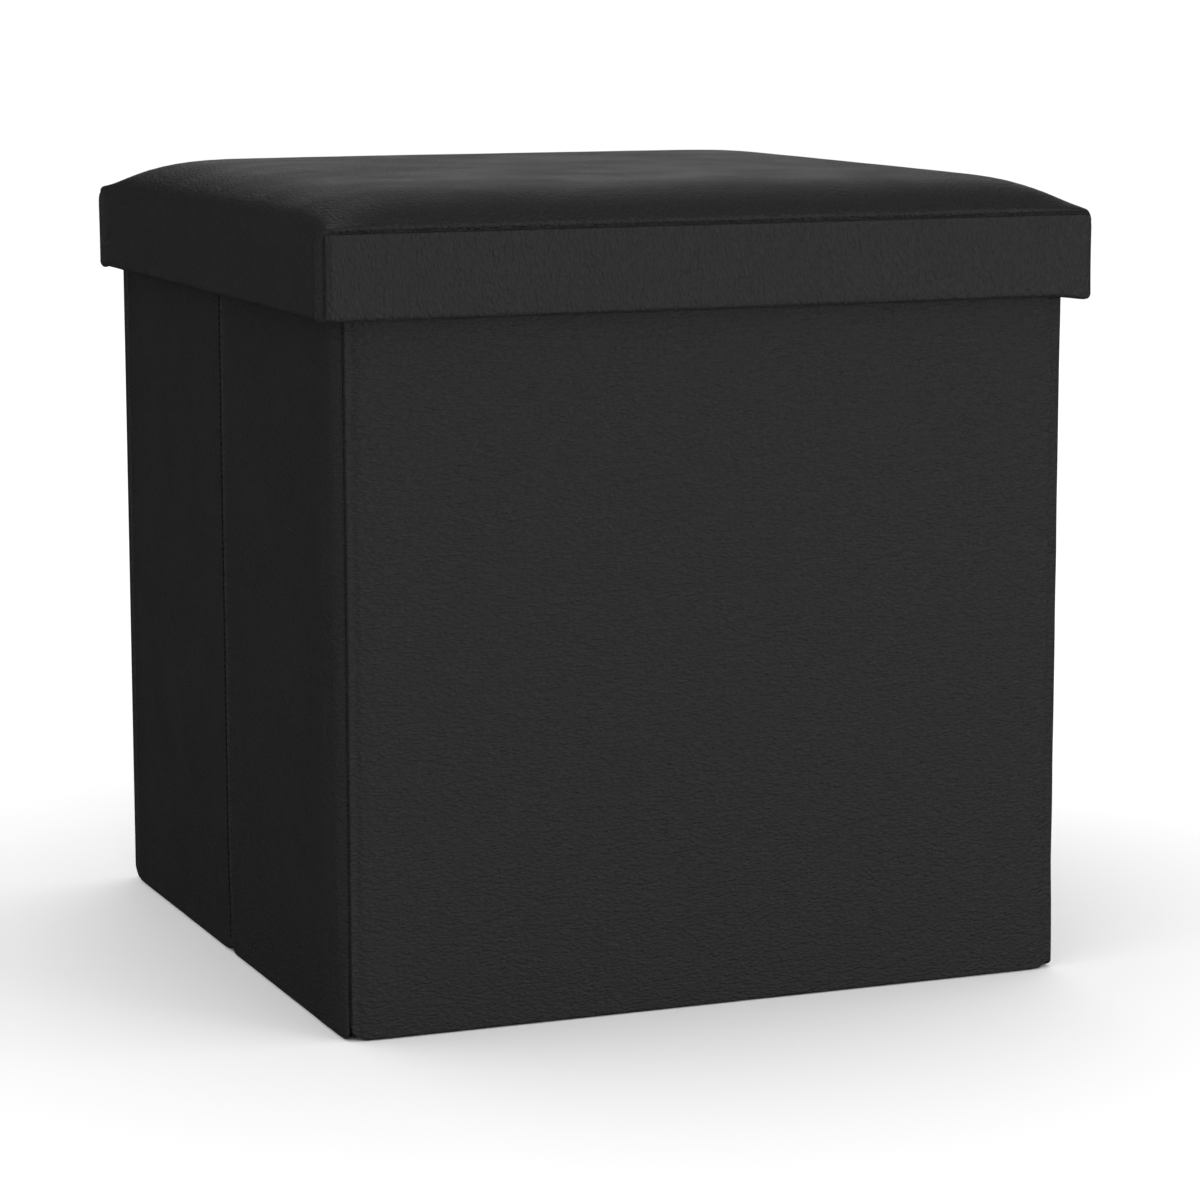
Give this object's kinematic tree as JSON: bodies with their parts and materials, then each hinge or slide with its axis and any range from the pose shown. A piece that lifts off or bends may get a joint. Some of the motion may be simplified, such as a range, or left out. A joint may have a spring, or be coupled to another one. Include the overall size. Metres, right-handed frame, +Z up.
{
  "type": "storage ottoman",
  "caption": "Cube storage ottoman in leathercloth: walls that fold flat, a hinged base panel and a padded lift-off lid.",
  "frame": {"origin": "middle of the ottoman's footprint, on the floor", "axes": "+Z up, +X to the right, +Y to the back wall, where the base panel and the side walls are hinged"},
  "size_m": [0.38, 0.38, 0.3829],
  "materials": {
    "leathercloth": "embossed pebble grain, satin",
    "fibreboard": "raw medium-density fibreboard",
    "nonwoven_lining": "spunbond non-woven with point bonds",
    "foam": "open-cell polyurethane foam",
    "webbing_tape": "woven polypropylene tape"
  },
  "bodies": {
    "back_wall": {"back_board": "fibreboard", "back_cover": "leathercloth", "back_hem": "leathercloth", "back_hinge_tape": "webbing_tape", "back_lining": "nonwoven_lining", "left_rear_gusset": "leathercloth", "right_rear_gusset": "leathercloth"},
    "left_rear_panel": {"left_rear_board": "fibreboard", "left_rear_cover": "leathercloth", "left_rear_hem": "leathercloth", "left_rear_lining": "nonwoven_lining"},
    "left_front_panel": {"left_front_board": "fibreboard", "left_front_cover": "leathercloth", "left_front_hem": "leathercloth", "left_front_lining": "nonwoven_lining"},
    "front_wall": {"front_board": "fibreboard", "front_cover": "leathercloth", "front_hem": "leathercloth", "front_lining": "nonwoven_lining"},
    "right_rear_panel": {"right_rear_board": "fibreboard", "right_rear_cover": "leathercloth", "right_rear_hem": "leathercloth", "right_rear_lining": "nonwoven_lining"},
    "right_front_panel": {"right_front_board": "fibreboard", "right_front_cover": "leathercloth", "right_front_hem": "leathercloth", "right_front_lining": "nonwoven_lining"},
    "base_panel": {"base_backing": "nonwoven_lining", "base_board": "fibreboard", "base_hinge_flap": "webbing_tape", "base_pull_tab": "webbing_tape", "base_wrap": "nonwoven_lining"},
    "lid": {"lid_back_skirt_board": "fibreboard", "lid_board": "fibreboard", "lid_cover": "leathercloth", "lid_foam": "foam", "lid_front_skirt_board": "fibreboard", "lid_left_skirt_board": "fibreboard", "lid_lining": "nonwoven_lining", "lid_right_skirt_board": "fibreboard"}
  },
  "joints": [
    {"name": "lid_lift", "type": "slide", "parent": "back_wall", "child": "lid", "axis": [0, 0, 1], "range_m": [0, 0.3]},
    {"name": "base_fold", "type": "hinge", "parent": "back_wall", "child": "base_panel", "pos_m": [0, 0.174, 0.0044], "axis": [-1, 0, 0], "range_deg": [0, 90]},
    {"name": "side_fold", "type": "hinge", "parent": "back_wall", "child": "left_rear_panel", "pos_m": [-0.1748, 0.17, 0.18], "axis": [0, 0, 1], "range_deg": [0, 89.5], "deforming": ["left_rear_hem"]},
    {"name": "left_crease_fold", "type": "hinge", "parent": "left_rear_panel", "child": "left_front_panel", "pos_m": [-0.1805, -0.0024, 0.18], "axis": [0, 0, 1], "range_deg": [-179, 0], "deforming": ["left_front_hem"]},
    {"name": "front_corner_fold", "type": "hinge", "parent": "left_front_panel", "child": "front_wall", "pos_m": [-0.1748, -0.1748, 0.18], "axis": [0, 0, 1], "range_deg": [0, 89.5], "deforming": ["front_hem"]},
    {"name": "right_rear_fold", "type": "hinge", "parent": "back_wall", "child": "right_rear_panel", "pos_m": [0.1748, 0.17, 0.18], "axis": [0, 0, 1], "range_deg": [-89.5, 0], "deforming": ["right_rear_hem"]},
    {"name": "right_crease_fold", "type": "hinge", "parent": "right_rear_panel", "child": "right_front_panel", "pos_m": [0.1805, -0.0024, 0.18], "axis": [0, 0, 1], "range_deg": [0, 179], "deforming": ["right_front_hem"]}
  ],
  "couplings": [
    {"joint": "left_crease_fold", "follows": "side_fold", "ratio": -2},
    {"joint": "front_corner_fold", "follows": "side_fold", "ratio": 1},
    {"joint": "right_rear_fold", "follows": "side_fold", "ratio": -1},
    {"joint": "right_crease_fold", "follows": "side_fold", "ratio": 2}
  ]
}
